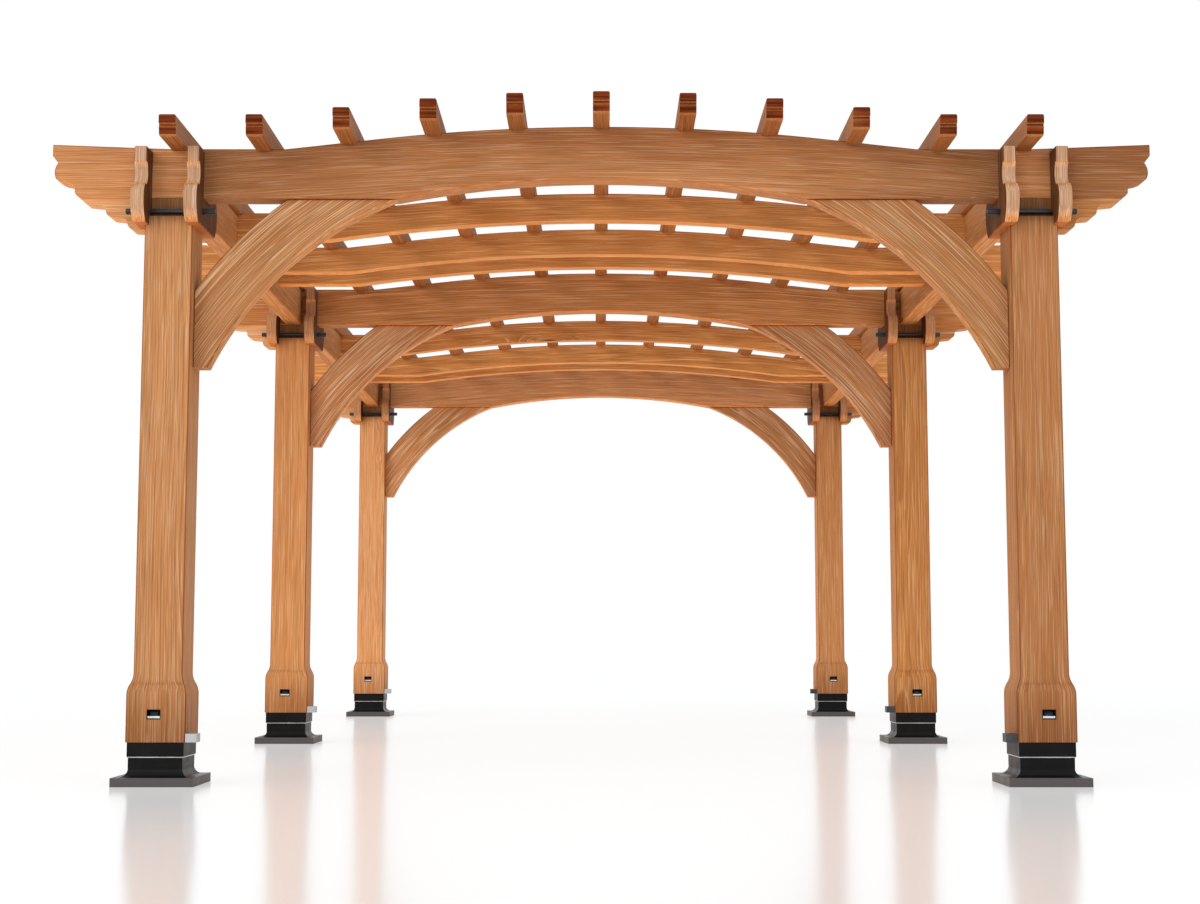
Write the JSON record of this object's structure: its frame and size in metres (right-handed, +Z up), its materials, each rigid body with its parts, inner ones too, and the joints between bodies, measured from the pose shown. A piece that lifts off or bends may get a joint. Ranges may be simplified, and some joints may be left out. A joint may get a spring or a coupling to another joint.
{
  "type": "wooden pergola",
  "caption": "Free-standing timber pergola: arched beams on square posts with knee braces, carved tails, side headers and purlins, on black metal bases.",
  "frame": {"origin": "on the ground, under the middle of the plan", "axes": "+Z up, +Y from the front frame to the back one along the purlins, +X to the right"},
  "size_m": [4.4, 7.219, 2.688],
  "materials": {
    "wood": "oiled softwood with a brushed grain",
    "black_steel": "satin black paint",
    "grey_steel": "dull zinc"
  },
  "bodies": {
    "root": {"anchor_lugs": "grey_steel", "arch_beam_back": "wood", "arch_beam_front": "wood", "arch_beam_middle": "wood", "arched_rafter_1": "wood", "arched_rafter_2": "wood", "arched_rafter_3": "wood", "arched_rafter_4": "wood", "arched_rafter_5": "wood", "arched_rafter_6": "wood", "knee_braces_back": "wood", "knee_braces_front": "wood", "knee_braces_middle": "wood", "post_back_left": "wood", "post_back_right": "wood", "post_base_back_left": "black_steel", "post_base_back_right": "black_steel", "post_base_front_left": "black_steel", "post_base_front_right": "black_steel", "post_base_middle_left": "black_steel", "post_base_middle_right": "black_steel", "post_front_left": "wood", "post_front_right": "wood", "post_middle_left": "wood", "post_middle_right": "wood", "purlin_01": "wood", "purlin_02": "wood", "purlin_03": "wood", "purlin_04": "wood", "purlin_05": "wood", "purlin_06": "wood", "purlin_07": "wood", "purlin_08": "wood", "purlin_09": "wood", "purlin_10": "wood", "purlin_11": "wood", "saddle_cheeks_back": "wood", "saddle_cheeks_front": "wood", "saddle_cheeks_middle": "wood", "side_header_left": "wood", "side_header_right": "wood", "tail_corbels_left": "wood", "tail_corbels_right": "wood"}
  },
  "joints": []
}
